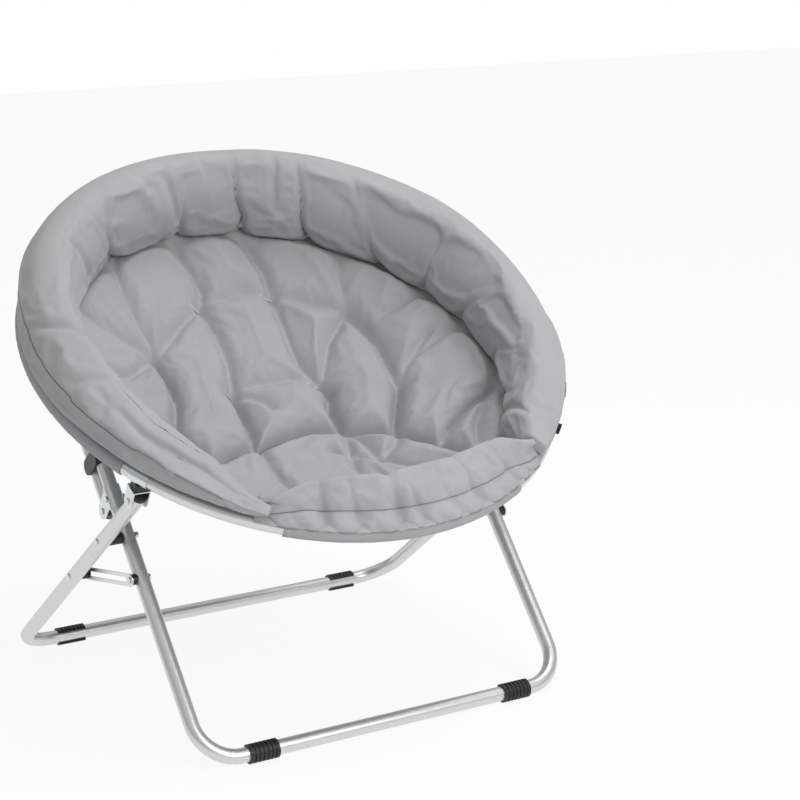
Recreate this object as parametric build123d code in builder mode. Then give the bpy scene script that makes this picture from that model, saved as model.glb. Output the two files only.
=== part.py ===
from build123d import *
import os
from math import acos, asin, cos, degrees, hypot, radians, sin, sqrt, tan

# Folding saucer chair, millimetres. X to the sitter's left-right, +Y to the back, +Z up.
# The origin is on the floor, under the middle of the chair.
# "left" is the -X side. Hoop angles are counted from the front of the hoop towards -X.

# ---- tubes ----
tube_radius = 11.0
tube_wall = 1.2
foot_bend_radius = 60.0

# ---- where the two leg frames stand and cross ----
chair_middle = 283.55            # front foot bar to the middle of the chair
foot_spacing = 591.3             # front foot bar to rear foot bar
front_leg_slope = 49.1           # degrees up from the floor
rear_leg_slope = 37.1
leg_side_step = 37.9016          # rear leg's axis outside the front leg's
front_leg_length = 475.0         # foot bar's axis to the tube's end
leg_end_past_pivot = 13.0        # tube past a hoop bracket's pivot

# ---- seat hoop ----
hoop_radius = 404.6
hoop_tilt = 27.2
hoop_centre_back = 285.6         # front foot bar to the hoop's centre
hoop_centre_height = 510.7
hoop_butt_gap = 0.6              # where the bent tube's two ends meet at the back
hoop_joiner_length = 60.0

# ---- hoop brackets ----
pivot_drop = 43.0                # hoop's plane to the pivot below it
saddle_length = 29.0
saddle_wrap = 35.0               # degrees that a saddle reaches below the tube's middle
sheet = 2.0
saddle_sheet = 1.5
ear_radius = 11.5
end_swing_clearance = 0.2        # tube's end corner to the screw head above it
screw_radius = 3.0
screw_head_radius = 5.5
screw_head_height = 2.0
nut_height = 4.5
screw_past_nut = 1.0
nut_across_flats = 10.0
block_width = 21.0
block_corner = 4.0
block_top_drop = 8.0             # hoop's plane down to the block's flat top

# ---- stays behind the seat ----
stay_offset = 26.5               # front leg's axis to the stay's axis
stay_pivot_reach = 414.4         # up the front leg from its foot bar
stay_end_below_pivot = 9.0
upper_rivet_reach = 420.5
support_saddle_start = 402.0
support_saddle_length = 36.0
support_ear_radius = 12.5
upper_ear_radius = 13.0

# ---- fork that stops the fold, on the front leg's top end ----
fork_length = 25.0
fork_cheek = 2.8
fork_nose_radius = 12.5
fork_plug_length = 18.0
fork_overhang = 0.6              # fork past the stay's far side

# ---- slotted links ----
link_pivot_below_cross = 67.6    # down the front leg
link_pin_below_cross = 138.4     # down the rear leg
link_half_width = 9.5
link_thickness = 2.0
link_standoff = 6.2              # front leg's side to the link
link_slot_start = 16.0
slot_pin_radius = 3.8
slot_pin_head_radius = 6.0
link_washer_radius = 8.0
cross_spacer_radius = 9.0

# ---- pins and rivets ----
pin_radius = 3.0
pin_head_radius = 4.8
pin_head_height = 1.8
cross_nut_height = 4.5

# ---- plugs ----
plug_depth = 7.0
plug_cap = 3.0
stay_foot_plug_depth = 5.0       # short of the pivot's pin
stay_foot_plug_cap = 2.0         # its rim passes the front leg as the stay turns
plug_rim_flat = 0.1              # of a cap's side, left under its rounded rim

# ---- foot pads ----
pad_wall = 2.5                   # under the tube
pad_extra_round = 0.7            # the pad's round side stands this much past its flat sole
pad_length = 46.0
front_pad_past_bend = 29.6       # bend's end to the middle of the pad
rear_pad_past_bend = 28.9
pad_opening_half_angle = 42.0
pad_groove_count = 6
pad_groove_width = 2.4
pad_groove_depth = 1.3

# ---- soft parts ----
sleeve_thickness = 1.5
front_sleeve_half_angle = 28.1
side_sleeve_step = 4.06          # degrees from a front bracket's middle to the sleeve
bracket_window = 2.6             # degrees of bare hoop each side of a rear bracket
sling_depth = 185.0
sling_rim_drop = 4.0
sling_rim_gap = 0.4
sling_thickness = 2.0
cushion_inset = 34.1             # hoop's centre line in to the cushion's side
cushion_draw_in = 2.5
cushion_rim_drop = 12.0
cushion_centre_drop = 142.0
tuft_depth = 15.0
tuft_ball_radius = 46.0
bolster_start = 36.0
bolster_overhang = 16.4          # hoop's centre line out to the roll's widest
bolster_foot_draw_in = 4.0       # roll's widest in to its outer foot
bolster_foot_inset = 10.6        # hoop's centre line in to the roll's inner foot
bolster_top_inset = 31.6         # the same, to its top
bolster_inset = 79.6             # the same, to its inner side where the roll is highest
bolster_low_inset = 57.6         # and where it would have no height
bolster_lap_inset = 39.6         # its inner side comes down this far in at the low ends
bolster_lap_gap = 2.0
# Guide points of the roll's section: how far out, and the share of its height.
bolster_wall = (0.0, 0.33)               # from its widest
bolster_shoulder = (-10.0, 0.66)         # from its widest
bolster_crest_outside = (28.0, 0.9)      # from its top
bolster_crest_inside = (17.0, 0.78)      # from its inner side
bolster_waist = (0.0, 0.38)              # from its inner side
bolster_toe = (3.0, 0.1)                 # from its inner side
bolster_section_count = 60
crease_half_width = 8.0          # degrees over which the roll draws in to a crease
crease_depth_outside = 4.0
crease_pinch = 0.1
fork_room_back = -157.5          # room under the roll for the folding leg's fork
fork_room_length = 119.0
fork_room_clearance = 1.0
fork_room_top = 14.0             # above the hoop's plane
fork_room_depth = 60.0
lip_half_angle = 34.0
lip_top = 34.0
lip_top_inset = 18.6             # hoop's centre line in to the lip's top
lip_inset = 60.6                 # the same, to its lower edge over the cushion
lip_lap_drop = 16.0
lip_outer_wrap = 20.0            # degrees above the hoop's plane where the lip ends
lip_inner_wrap = 10.0
lip_overhang = 6.4
lip_bulge_share = 0.72
lip_back_inset = 51.6
lip_back_share = 0.6
lip_pucker_count = 8
lip_pucker = 0.12
tag_angle = 312.0
tag_length = 19.0
tag_width = 12.0
tag_thickness = 1.0

# ---- fits ----
running_clearance = 0.08         # pin in the hole of another body
seat_clearance = 0.05            # pieces that are fixed to each other
ear_clearance = 0.25             # tube's side to a bracket's ear
plane_gap = 0.3                  # faces that slide past each other
soft_gap = 0.3                   # round the soft parts
nut_clearance = 1.6              # round a hoop nut, in the roll
tag_gap = 0.9                    # roll's underside to the tag

# Sewn tufts of the seat cushion: from the middle to +X, and towards the back.
tufts = [(-31, 236), (99, 233), (202, 166), (-147, 142), (-37, 73), (112, 56), (218, -4),
         (-147, -90), (-55, -53), (99, -49), (166, -94), (106, -151)]
# Bolster from its end to the back: hoop angle, its top and its underside above the hoop.
bolster_outline = [(36, 38, 19.5), (47, 48, 19.5), (56, 67, 19.5), (66, 83, 19.5),
                   (84, 100, 11.5), (110, 111, 11.5), (180, 111, 11.5)]
# Hoop angles of the bolster's deep creases.
creases = [55, 72, 92, 105, 118, 145, 169, 189, 207, 234, 254, 272, 288, 305]

sides = (("left", -1), ("right", 1))
os.makedirs("parts", exist_ok=True)


def save(builder, name):
    builder.part.label = name
    export_step(builder.part, f"parts/{name}.step")


# ---- directions and pivots in the side view ----
across = Vector(1, 0, 0)
foot_height = tube_radius + pad_wall
front_foot = Vector(0, -chair_middle, foot_height)
rear_foot = Vector(0, foot_spacing - chair_middle, foot_height)
up_front = Vector(0, cos(radians(front_leg_slope)), sin(radians(front_leg_slope)))
up_rear = Vector(0, -cos(radians(rear_leg_slope)), sin(radians(rear_leg_slope)))
behind_front = Vector(0, up_front.Z, -up_front.Y)
cross_reach = foot_spacing * up_rear.Z / sin(radians(front_leg_slope + rear_leg_slope))
cross = front_foot + up_front * cross_reach

hoop_normal = Vector(0, -sin(radians(hoop_tilt)), cos(radians(hoop_tilt)))
hoop_back = Vector(0, cos(radians(hoop_tilt)), sin(radians(hoop_tilt)))
hoop_centre = Vector(0, hoop_centre_back - chair_middle, hoop_centre_height)
hoop_axis = Axis(hoop_centre, -hoop_normal)


def hoop_direction(angle):
    return -across * sin(radians(angle)) - hoop_back * cos(radians(angle))


def hoop_plane(angle):
    """Upright cut through the hoop's centre: x outwards, y along the hoop's normal."""
    outwards = hoop_direction(angle)
    return Plane(origin=hoop_centre, x_dir=outwards, z_dir=outwards.cross(hoop_normal))


def hoop_point(angle, height=0.0):
    return hoop_centre + hoop_direction(angle) * hoop_radius + hoop_normal * height


def side_plane(x, point, x_dir=Vector(0, 1, 0)):
    return Plane(origin=(x, point.Y, point.Z), x_dir=x_dir, z_dir=across)


rear_leg_reach = (-pivot_drop - (rear_foot - hoop_centre).dot(hoop_normal)) / up_rear.dot(hoop_normal)
leg_pivot = rear_foot + up_rear * rear_leg_reach
leg_pivot_back = (leg_pivot - hoop_centre).dot(hoop_back)
front_bracket_angle = degrees(acos(-leg_pivot_back / hoop_radius))
rear_leg_half_width = sqrt(hoop_radius**2 - leg_pivot_back**2)
front_leg_half_width = rear_leg_half_width - leg_side_step
stay_half_width = front_leg_half_width
rear_bracket_angle = 180 - degrees(asin(stay_half_width / hoop_radius))
stay_top = hoop_centre - hoop_normal * pivot_drop + hoop_back * sqrt(
    hoop_radius**2 - stay_half_width**2)
stay_pivot = front_foot + up_front * stay_pivot_reach + behind_front * stay_offset
upper_rivet = front_foot + up_front * upper_rivet_reach
up_stay = (stay_top - stay_pivot).normalized()
link_pivot = cross - up_front * link_pivot_below_cross
link_pin = cross - up_rear * link_pin_below_cross
link_length = (link_pin - link_pivot).length

ear_inner = tube_radius + ear_clearance
end_swing = hypot(leg_end_past_pivot + plug_cap, tube_radius) + end_swing_clearance
web_inner_rise = end_swing + screw_head_height       # pivot up to the web's underside
web_top_rise = web_inner_rise + sheet
web_top_height = web_top_rise - pivot_drop           # from the hoop's plane, below it
saddle_outer = tube_radius + seat_clearance + saddle_sheet

cushion_radius = hoop_radius - cushion_inset
bolster_outer_radius = hoop_radius + bolster_overhang
bolster_outer_foot = bolster_outer_radius - bolster_foot_draw_in
bolster_top_radius = hoop_radius - bolster_top_inset


# ---- tubular frames ----
def leg_frame(name, foot, up, half_width, length, holes):
    frame_plane = Plane(origin=foot, x_dir=across, z_dir=across.cross(up))
    with BuildPart() as frame:
        with BuildLine(frame_plane) as route:
            FilletPolyline((-half_width, length), (-half_width, 0), (half_width, 0),
                           (half_width, length), radius=foot_bend_radius)
        with BuildSketch(Plane(origin=route.line @ 0, z_dir=route.line % 0)):
            Circle(tube_radius)
            Circle(tube_radius - tube_wall, mode=Mode.SUBTRACT)
        sweep(path=route.line)
        for point, radius in holes:
            with BuildSketch(side_plane(0, point)):
                Circle(radius)
            extrude(amount=half_width + 2 * tube_radius, both=True, mode=Mode.SUBTRACT)
    save(frame, name)


fixed_hole = pin_radius + seat_clearance
running_hole = pin_radius + running_clearance
rear_leg_length = rear_leg_reach + leg_end_past_pivot
leg_frame("rear_leg_frame", rear_foot, up_rear, rear_leg_half_width, rear_leg_length,
          [(leg_pivot, running_hole), (cross, fixed_hole), (link_pin, fixed_hole)])
leg_frame("front_leg_frame", front_foot, up_front, front_leg_half_width, front_leg_length,
          [(upper_rivet, fixed_hole), (cross, fixed_hole), (link_pivot, fixed_hole)])

stay_start = stay_pivot - up_stay * stay_end_below_pivot
stay_length = (stay_top - stay_start).length + leg_end_past_pivot
for side, sign in sides:
    stay_foot = stay_start + across * (sign * stay_half_width)
    with BuildPart() as stay:
        with BuildSketch(Plane(origin=stay_foot, z_dir=up_stay)):
            Circle(tube_radius)
            Circle(tube_radius - tube_wall, mode=Mode.SUBTRACT)
        extrude(amount=stay_length)
        for point in (stay_pivot, stay_top):
            with BuildSketch(side_plane(sign * stay_half_width, point)):
                Circle(running_hole)
            extrude(amount=2 * tube_radius, both=True, mode=Mode.SUBTRACT)
    save(stay, f"back_stay_{side}")


# ---- plugs in the open tube ends ----
def tube_plug(name, end, outwards, cap=plug_cap, depth=plug_depth):
    with BuildPart() as plug:
        with BuildSketch(Plane(origin=end, z_dir=outwards)):
            Circle(tube_radius)
        extrude(amount=cap)
        fillet(plug.edges().group_by(Axis(end, outwards))[-1], cap - plug_rim_flat)
        with BuildSketch(Plane(origin=end, z_dir=-outwards)):
            Circle(tube_radius - tube_wall - seat_clearance)
        extrude(amount=depth)
    save(plug, name)


for side, sign in sides:
    leg_side = across * (sign * rear_leg_half_width)
    stay_side = across * (sign * stay_half_width)
    tube_plug(f"rear_leg_plug_{side}", rear_foot + up_rear * rear_leg_length + leg_side, up_rear)
    tube_plug(f"stay_top_plug_{side}", stay_start + up_stay * stay_length + stay_side, up_stay)
    tube_plug(f"stay_foot_plug_{side}", stay_start + stay_side, -up_stay,
              stay_foot_plug_cap, stay_foot_plug_depth)


# ---- foot pads: ribbed plastic clips, open towards the middle of the chair ----
pad_outer = tube_radius + pad_wall + pad_extra_round
groove_floor = pad_outer - pad_groove_depth


def foot_pad(name, foot, x, open_sign):
    def cross_section(start):
        return Plane(origin=foot + across * (x + open_sign * (start - pad_length / 2)),
                     x_dir=(0, open_sign, 0), z_dir=across * open_sign)

    with BuildPart() as pad:
        with BuildSketch(cross_section(0)):
            Circle(pad_outer)
            Circle(tube_radius + seat_clearance, mode=Mode.SUBTRACT)
            with Locations((0, -foot_height)):
                Rectangle(3 * pad_outer, pad_outer, align=(Align.CENTER, Align.MAX),
                          mode=Mode.SUBTRACT)
            with BuildLine():
                reach = 2 * pad_outer
                rise = reach * tan(radians(pad_opening_half_angle))
                Polyline((0, 0), (reach, rise), (reach, -rise), close=True)
            make_face(mode=Mode.SUBTRACT)
        extrude(amount=pad_length)
        pitch = pad_length / (pad_groove_count + 1)
        for groove in range(1, pad_groove_count + 1):
            with BuildSketch(cross_section(groove * pitch - pad_groove_width / 2)):
                Circle(2 * pad_outer)
                Circle(groove_floor, mode=Mode.SUBTRACT)
                with Locations((0, -tube_radius)):
                    Rectangle(5 * pad_outer, 2 * pad_outer, align=(Align.CENTER, Align.MAX),
                              mode=Mode.SUBTRACT)
            extrude(amount=pad_groove_width, mode=Mode.SUBTRACT)
    save(pad, name)


for side, sign in sides:
    front_pad_x = front_leg_half_width - foot_bend_radius - front_pad_past_bend
    rear_pad_x = rear_leg_half_width - foot_bend_radius - rear_pad_past_bend
    foot_pad(f"front_foot_pad_{side}", front_foot, sign * front_pad_x, 1)
    foot_pad(f"rear_foot_pad_{side}", rear_foot, sign * rear_pad_x, -1)

# ---- seat hoop ----
gap_angle = degrees(hoop_butt_gap / hoop_radius)
bracket_angles = {"front": front_bracket_angle, "rear": rear_bracket_angle}
with BuildPart() as seat_hoop:
    with BuildSketch(hoop_plane(180 + gap_angle / 2)):
        with Locations((hoop_radius, 0)):
            Circle(tube_radius)
            Circle(tube_radius - tube_wall, mode=Mode.SUBTRACT)
    revolve(axis=hoop_axis, revolution_arc=360 - gap_angle)
    for angle in bracket_angles.values():
        for side, sign in sides:
            with BuildSketch(Plane(origin=hoop_point(-sign * angle), z_dir=hoop_normal)):
                Circle(screw_radius + seat_clearance)
            extrude(amount=2 * tube_radius, both=True, mode=Mode.SUBTRACT)
save(seat_hoop, "seat_hoop")

joiner_half_angle = degrees(hoop_joiner_length / 2 / hoop_radius)
with BuildPart() as hoop_joiner:
    with BuildSketch(hoop_plane(180 - joiner_half_angle)):
        with Locations((hoop_radius, 0)):
            Circle(tube_radius - tube_wall - seat_clearance)
            Circle(tube_radius - 2 * tube_wall - seat_clearance, mode=Mode.SUBTRACT)
    revolve(axis=hoop_axis, revolution_arc=2 * joiner_half_angle)
save(hoop_joiner, "hoop_joiner")


# ---- hoop brackets: saddle over the hoop, block under it, channel with the pivot ----
saddle_half_angle = degrees(saddle_length / 2 / hoop_radius)
screw_tip_height = saddle_outer + nut_height + screw_past_nut
brackets = []
for end, pivot, half_width in (("front", leg_pivot, rear_leg_half_width),
                               ("rear", stay_top, stay_half_width)):
    for side, sign in sides:
        brackets.append((end, side, sign, pivot, half_width, -sign * bracket_angles[end]))

for end, side, sign, pivot, half_width, angle in brackets:
    screw_plane = Plane(origin=hoop_point(angle), x_dir=across, z_dir=hoop_normal)
    with BuildPart() as saddle:
        with BuildSketch(hoop_plane(angle - saddle_half_angle)):
            with Locations((hoop_radius, 0)):
                Circle(saddle_outer)
                Circle(tube_radius + seat_clearance, mode=Mode.SUBTRACT)
            with Locations((hoop_radius, -tube_radius * sin(radians(saddle_wrap)))):
                Rectangle(3 * saddle_outer, saddle_outer, align=(Align.CENTER, Align.MAX),
                          mode=Mode.SUBTRACT)
        revolve(axis=hoop_axis, revolution_arc=2 * saddle_half_angle)
        with BuildSketch(screw_plane):
            Circle(screw_radius + seat_clearance)
        extrude(amount=2 * saddle_outer, mode=Mode.SUBTRACT)
    save(saddle, f"{end}_saddle_{side}")

    with BuildPart() as block:
        block_start = Plane(origin=Vector(sign * half_width, pivot.Y, pivot.Z)
                            + hoop_normal * web_top_rise, x_dir=across, z_dir=hoop_normal)
        with BuildSketch(block_start):
            RectangleRounded(block_width, block_width, block_corner)
        extrude(amount=-web_top_height - block_top_drop)
        with BuildSketch(screw_plane):
            Circle(screw_radius + seat_clearance)
        extrude(amount=-pivot_drop, mode=Mode.SUBTRACT)
        with BuildSketch(hoop_plane(angle - 2 * saddle_half_angle)):
            with Locations((hoop_radius, 0)):
                Circle(tube_radius + seat_clearance)
        revolve(axis=hoop_axis, revolution_arc=4 * saddle_half_angle, mode=Mode.SUBTRACT)
    save(block, f"{end}_block_{side}")

    with BuildPart() as channel:
        for x in (half_width - ear_inner - sheet, half_width + ear_inner):
            low_x = x if sign > 0 else -x - sheet
            with BuildSketch(side_plane(low_x, pivot, hoop_back)):
                Circle(ear_radius)
                Rectangle(2 * ear_radius, web_top_rise, align=(Align.CENTER, Align.MIN))
                Circle(fixed_hole, mode=Mode.SUBTRACT)
            extrude(amount=sheet)
        with BuildSketch(block_start):
            Rectangle(2 * (ear_inner + sheet), 2 * ear_radius)
        extrude(amount=-sheet)
        with BuildSketch(screw_plane):
            Circle(screw_radius + seat_clearance)
        extrude(amount=-pivot_drop, mode=Mode.SUBTRACT)
    save(channel, f"{end}_channel_{side}")

with BuildPart() as hoop_screws:
    for end, side, sign, pivot, half_width, angle in brackets:
        head_start = hoop_point(angle, web_top_height - sheet - screw_head_height)
        with BuildSketch(Plane(origin=head_start, z_dir=hoop_normal)):
            Circle(screw_head_radius)
        extrude(amount=screw_head_height)
        with BuildSketch(Plane(origin=head_start, z_dir=hoop_normal)):
            Circle(screw_radius)
        extrude(amount=screw_tip_height - web_top_height + sheet + screw_head_height)
save(hoop_screws, "hoop_screws")

with BuildPart() as hoop_nuts:
    for end, side, sign, pivot, half_width, angle in brackets:
        with BuildSketch(Plane(origin=hoop_point(angle, saddle_outer), z_dir=hoop_normal)):
            RegularPolygon(nut_across_flats / 2, 6, major_radius=False)
            Circle(screw_radius + seat_clearance, mode=Mode.SUBTRACT)
        extrude(amount=nut_height)
save(hoop_nuts, "hoop_nuts")


# ---- pins along X ----
def cylinder_x(x, point, radius, length):
    with BuildSketch(side_plane(x, point)) as disc:
        Circle(radius)
    extrude(disc.sketch, amount=length)


def rivet(point, half_width, sign, half_grip):
    """Rivet through two ears: shank and a head at each end."""
    middle = sign * half_width
    cylinder_x(middle - half_grip, point, pin_radius, 2 * half_grip)
    cylinder_x(middle - half_grip - pin_head_height, point, pin_head_radius, pin_head_height)
    cylinder_x(middle + half_grip, point, pin_head_radius, pin_head_height)


ear_grip = ear_inner + sheet
with BuildPart() as hoop_pivot_rivets:
    for end, side, sign, pivot, half_width, angle in brackets:
        rivet(pivot, half_width, sign, ear_grip)
save(hoop_pivot_rivets, "hoop_pivot_rivets")

# ---- brackets that carry the stays on the front leg ----
# In these side views x runs behind the front leg and y runs up it.
rivet_behind = -stay_offset
rivet_above = upper_rivet_reach - stay_pivot_reach
for side, sign in sides:
    with BuildPart() as support:
        saddle_start = front_foot + up_front * support_saddle_start
        with BuildSketch(Plane(origin=saddle_start + across * (sign * front_leg_half_width),
                               x_dir=across, z_dir=up_front)):
            Circle(ear_inner + sheet)
            Circle(ear_inner, mode=Mode.SUBTRACT)
            Rectangle(4 * ear_inner, 2 * ear_inner, align=(Align.CENTER, Align.MIN),
                      mode=Mode.SUBTRACT)
        extrude(amount=support_saddle_length)
        for x in (front_leg_half_width - ear_inner - sheet, front_leg_half_width + ear_inner):
            low_x = x if sign > 0 else -x - sheet
            with BuildSketch(side_plane(low_x, stay_pivot, behind_front)):
                Circle(support_ear_radius)
                with Locations((rivet_behind, rivet_above)):
                    Circle(upper_ear_radius)
                make_hull()
                with Locations((rivet_behind, 0)):
                    Rectangle(2 * upper_ear_radius, 4 * upper_ear_radius,
                              align=(Align.MAX, Align.CENTER), mode=Mode.SUBTRACT)
                Circle(fixed_hole, mode=Mode.SUBTRACT)
            extrude(amount=sheet)
        with BuildSketch(side_plane(0, upper_rivet)):
            Circle(fixed_hole)
        extrude(amount=sign * 2 * front_leg_half_width, mode=Mode.SUBTRACT)
    save(support, f"stay_bracket_{side}")

with BuildPart() as stay_bracket_rivets:
    for side, sign in sides:
        rivet(upper_rivet, front_leg_half_width, sign, ear_grip)
save(stay_bracket_rivets, "stay_bracket_rivets")

with BuildPart() as stay_foot_rivets:
    for side, sign in sides:
        rivet(stay_pivot, stay_half_width, sign, ear_grip)
save(stay_foot_rivets, "stay_foot_rivets")

# ---- forks on the front leg's top ends, each resting round its stay ----
fork_groove = tube_radius + plane_gap
fork_half_width = fork_groove + fork_cheek
leg_end = front_foot + up_front * front_leg_length
fork_reach = stay_offset + tube_radius + fork_overhang
for side, sign in sides:
    x = sign * front_leg_half_width
    with BuildPart() as fork:
        with BuildSketch(side_plane(x - fork_half_width, leg_end, behind_front)):
            with Locations((0, fork_length / 2),
                           (fork_reach - fork_length / 2, fork_length / 2)):
                Circle(fork_length / 2)
            make_hull()
        extrude(amount=2 * fork_half_width)
        with BuildSketch(Plane(origin=leg_end + across * x, z_dir=up_front)):
            Circle(tube_radius)
        extrude(amount=fork_length / 2)
        with BuildSketch(Plane(origin=stay_pivot + across * x, x_dir=across, z_dir=up_stay)):
            Circle(fork_groove)
            Rectangle(2 * fork_groove, 2 * fork_reach, align=(Align.CENTER, Align.MIN))
        extrude(amount=front_leg_length, mode=Mode.SUBTRACT)
        with BuildSketch(Plane(origin=leg_end + across * x, z_dir=-up_front)):
            Circle(tube_radius - tube_wall - seat_clearance)
        extrude(amount=fork_plug_length)
    save(fork, f"stop_fork_{side}")


# ---- crossing pins, links and their pins ----
def pin_x(sign, start, end, point, radius):
    """Cylinder along X between two distances from the chair's middle, on one side."""
    cylinder_x(min(sign * start, sign * end), point, radius, end - start)


def leg_seat(sign, foot, up, half_width):
    """Room for a leg tube in a spacer that sits against it."""
    with BuildSketch(Plane(origin=foot + across * (sign * half_width), z_dir=up)) as disc:
        Circle(tube_radius + seat_clearance)
    extrude(disc.sketch, amount=rear_leg_length, mode=Mode.SUBTRACT)


rear_leg_inner = rear_leg_half_width - tube_radius
rear_leg_outer = rear_leg_half_width + tube_radius
front_leg_inner = front_leg_half_width - tube_radius
front_leg_outer = front_leg_half_width + tube_radius
cross_gap_start = front_leg_outer + plane_gap
link_inner = front_leg_outer + link_standoff
link_outer = link_inner + link_thickness

with BuildPart() as rear_leg_rivets:
    for side, sign in sides:
        for point, start in ((cross, cross_gap_start), (link_pin, rear_leg_inner)):
            pin_x(sign, start, rear_leg_outer, point, pin_radius)
            pin_x(sign, rear_leg_outer, rear_leg_outer + pin_head_height, point, pin_head_radius)
save(rear_leg_rivets, "rear_leg_rivets")

with BuildPart() as cross_nuts:
    for side, sign in sides:
        pin_x(sign, front_leg_inner, front_leg_outer, cross, pin_radius)
        pin_x(sign, front_leg_inner - cross_nut_height, front_leg_inner, cross, pin_head_radius)
save(cross_nuts, "cross_nuts")

with BuildPart() as link_rivets:
    for side, sign in sides:
        head_start = link_outer + plane_gap
        pin_x(sign, front_leg_inner, head_start, link_pivot, pin_radius)
        pin_x(sign, head_start, head_start + pin_head_height, link_pivot, pin_head_radius)
        pin_x(sign, front_leg_inner - pin_head_height, front_leg_inner, link_pivot,
              pin_head_radius)
save(link_rivets, "link_rivets")

for side, sign in sides:
    with BuildPart() as cross_spacer:
        pin_x(sign, cross_gap_start, rear_leg_half_width, cross, cross_spacer_radius)
        leg_seat(sign, rear_foot, up_rear, rear_leg_half_width)
        with BuildSketch(side_plane(0, cross)):
            Circle(fixed_hole)
        extrude(amount=sign * 2 * rear_leg_half_width, mode=Mode.SUBTRACT)
    save(cross_spacer, f"cross_spacer_{side}")

    with BuildPart() as link_washer:
        pin_x(sign, front_leg_half_width, link_inner - plane_gap, link_pivot, link_washer_radius)
        leg_seat(sign, front_foot, up_front, front_leg_half_width)
        with BuildSketch(side_plane(0, link_pivot)):
            Circle(fixed_hole)
        extrude(amount=sign * 2 * rear_leg_half_width, mode=Mode.SUBTRACT)
    save(link_washer, f"link_washer_{side}")

    # The link's side view: x runs from its pivot to its pin.
    slot_half_width = slot_pin_radius + running_clearance
    low_x = link_inner if sign > 0 else -link_outer
    along = (link_pin - link_pivot).normalized()
    with BuildPart() as link:
        with BuildSketch(side_plane(low_x, link_pivot, along)):
            with Locations((0, 0), (link_length, 0)):
                Circle(link_half_width)
            make_hull()
            Circle(running_hole, mode=Mode.SUBTRACT)
        extrude(amount=link_thickness)
        with BuildSketch(side_plane(low_x, link_pivot, along)):
            with Locations((link_slot_start, 0), (link_length, 0)):
                Circle(slot_half_width)
            make_hull()
        extrude(amount=link_thickness, mode=Mode.SUBTRACT)
    save(link, f"slotted_link_{side}")

    with BuildPart() as slot_pin:
        head_end = link_inner - plane_gap
        body_start = link_outer + plane_gap
        pin_x(sign, head_end - pin_head_height, head_end, link_pin, slot_pin_head_radius)
        pin_x(sign, head_end, body_start, link_pin, slot_pin_radius)
        pin_x(sign, body_start, rear_leg_inner - plane_gap, link_pin, link_washer_radius)
    save(slot_pin, f"slot_pin_{side}")

# ---- fabric sleeves on the hoop ----
sleeve_inner = tube_radius + seat_clearance
sleeve_outer = sleeve_inner + sleeve_thickness
sleeve_spans = {
    "front": (-front_sleeve_half_angle, front_sleeve_half_angle),
    "left": (front_bracket_angle + side_sleeve_step, rear_bracket_angle - bracket_window),
    "back": (rear_bracket_angle + bracket_window, 360 - rear_bracket_angle - bracket_window),
    "right": (360 - rear_bracket_angle + bracket_window,
              360 - front_bracket_angle - side_sleeve_step)}
for place, (start, end) in sleeve_spans.items():
    with BuildPart() as sleeve:
        with BuildSketch(hoop_plane(start)):
            with Locations((hoop_radius, 0)):
                Circle(sleeve_outer)
                Circle(sleeve_inner, mode=Mode.SUBTRACT)
        revolve(axis=hoop_axis, revolution_arc=end - start)
    save(sleeve, f"hoop_sleeve_{place}")

# ---- sling under the seat: part of a ball, hung inside the hoop ----
sling_radius = hoop_radius - sleeve_outer - sling_rim_gap


def bowl_ball(rim_radius, rim_drop, depth):
    """Radius of the ball that a bowl of this rim and depth is cut from."""
    sag = depth - rim_drop
    return (rim_radius**2 + sag**2) / (2 * sag)


def bowl_point(ball, depth, out):
    """Point of a bowl at a distance from the hoop's axis, in a cut of the hoop."""
    return (out, ball - depth - sqrt(ball**2 - out**2))


sling_ball = bowl_ball(sling_radius, sling_rim_drop, sling_depth)
inner_ball, inner_depth = sling_ball - sling_thickness, sling_depth - sling_thickness
with BuildPart() as sling:
    rim_radius = sling_radius * inner_ball / sling_ball
    with BuildSketch(hoop_plane(0)):
        with BuildLine():
            low = ThreePointArc((0, -sling_depth),
                                bowl_point(sling_ball, sling_depth, sling_radius / 2),
                                bowl_point(sling_ball, sling_depth, sling_radius))
            rim = Line(low @ 1, bowl_point(inner_ball, inner_depth, rim_radius))
            top = ThreePointArc(rim @ 1, bowl_point(inner_ball, inner_depth, rim_radius / 2),
                                (0, -inner_depth))
            Line(top @ 1, low @ 0)
        make_face()
    revolve(axis=hoop_axis)
save(sling, "seat_sling")

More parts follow.
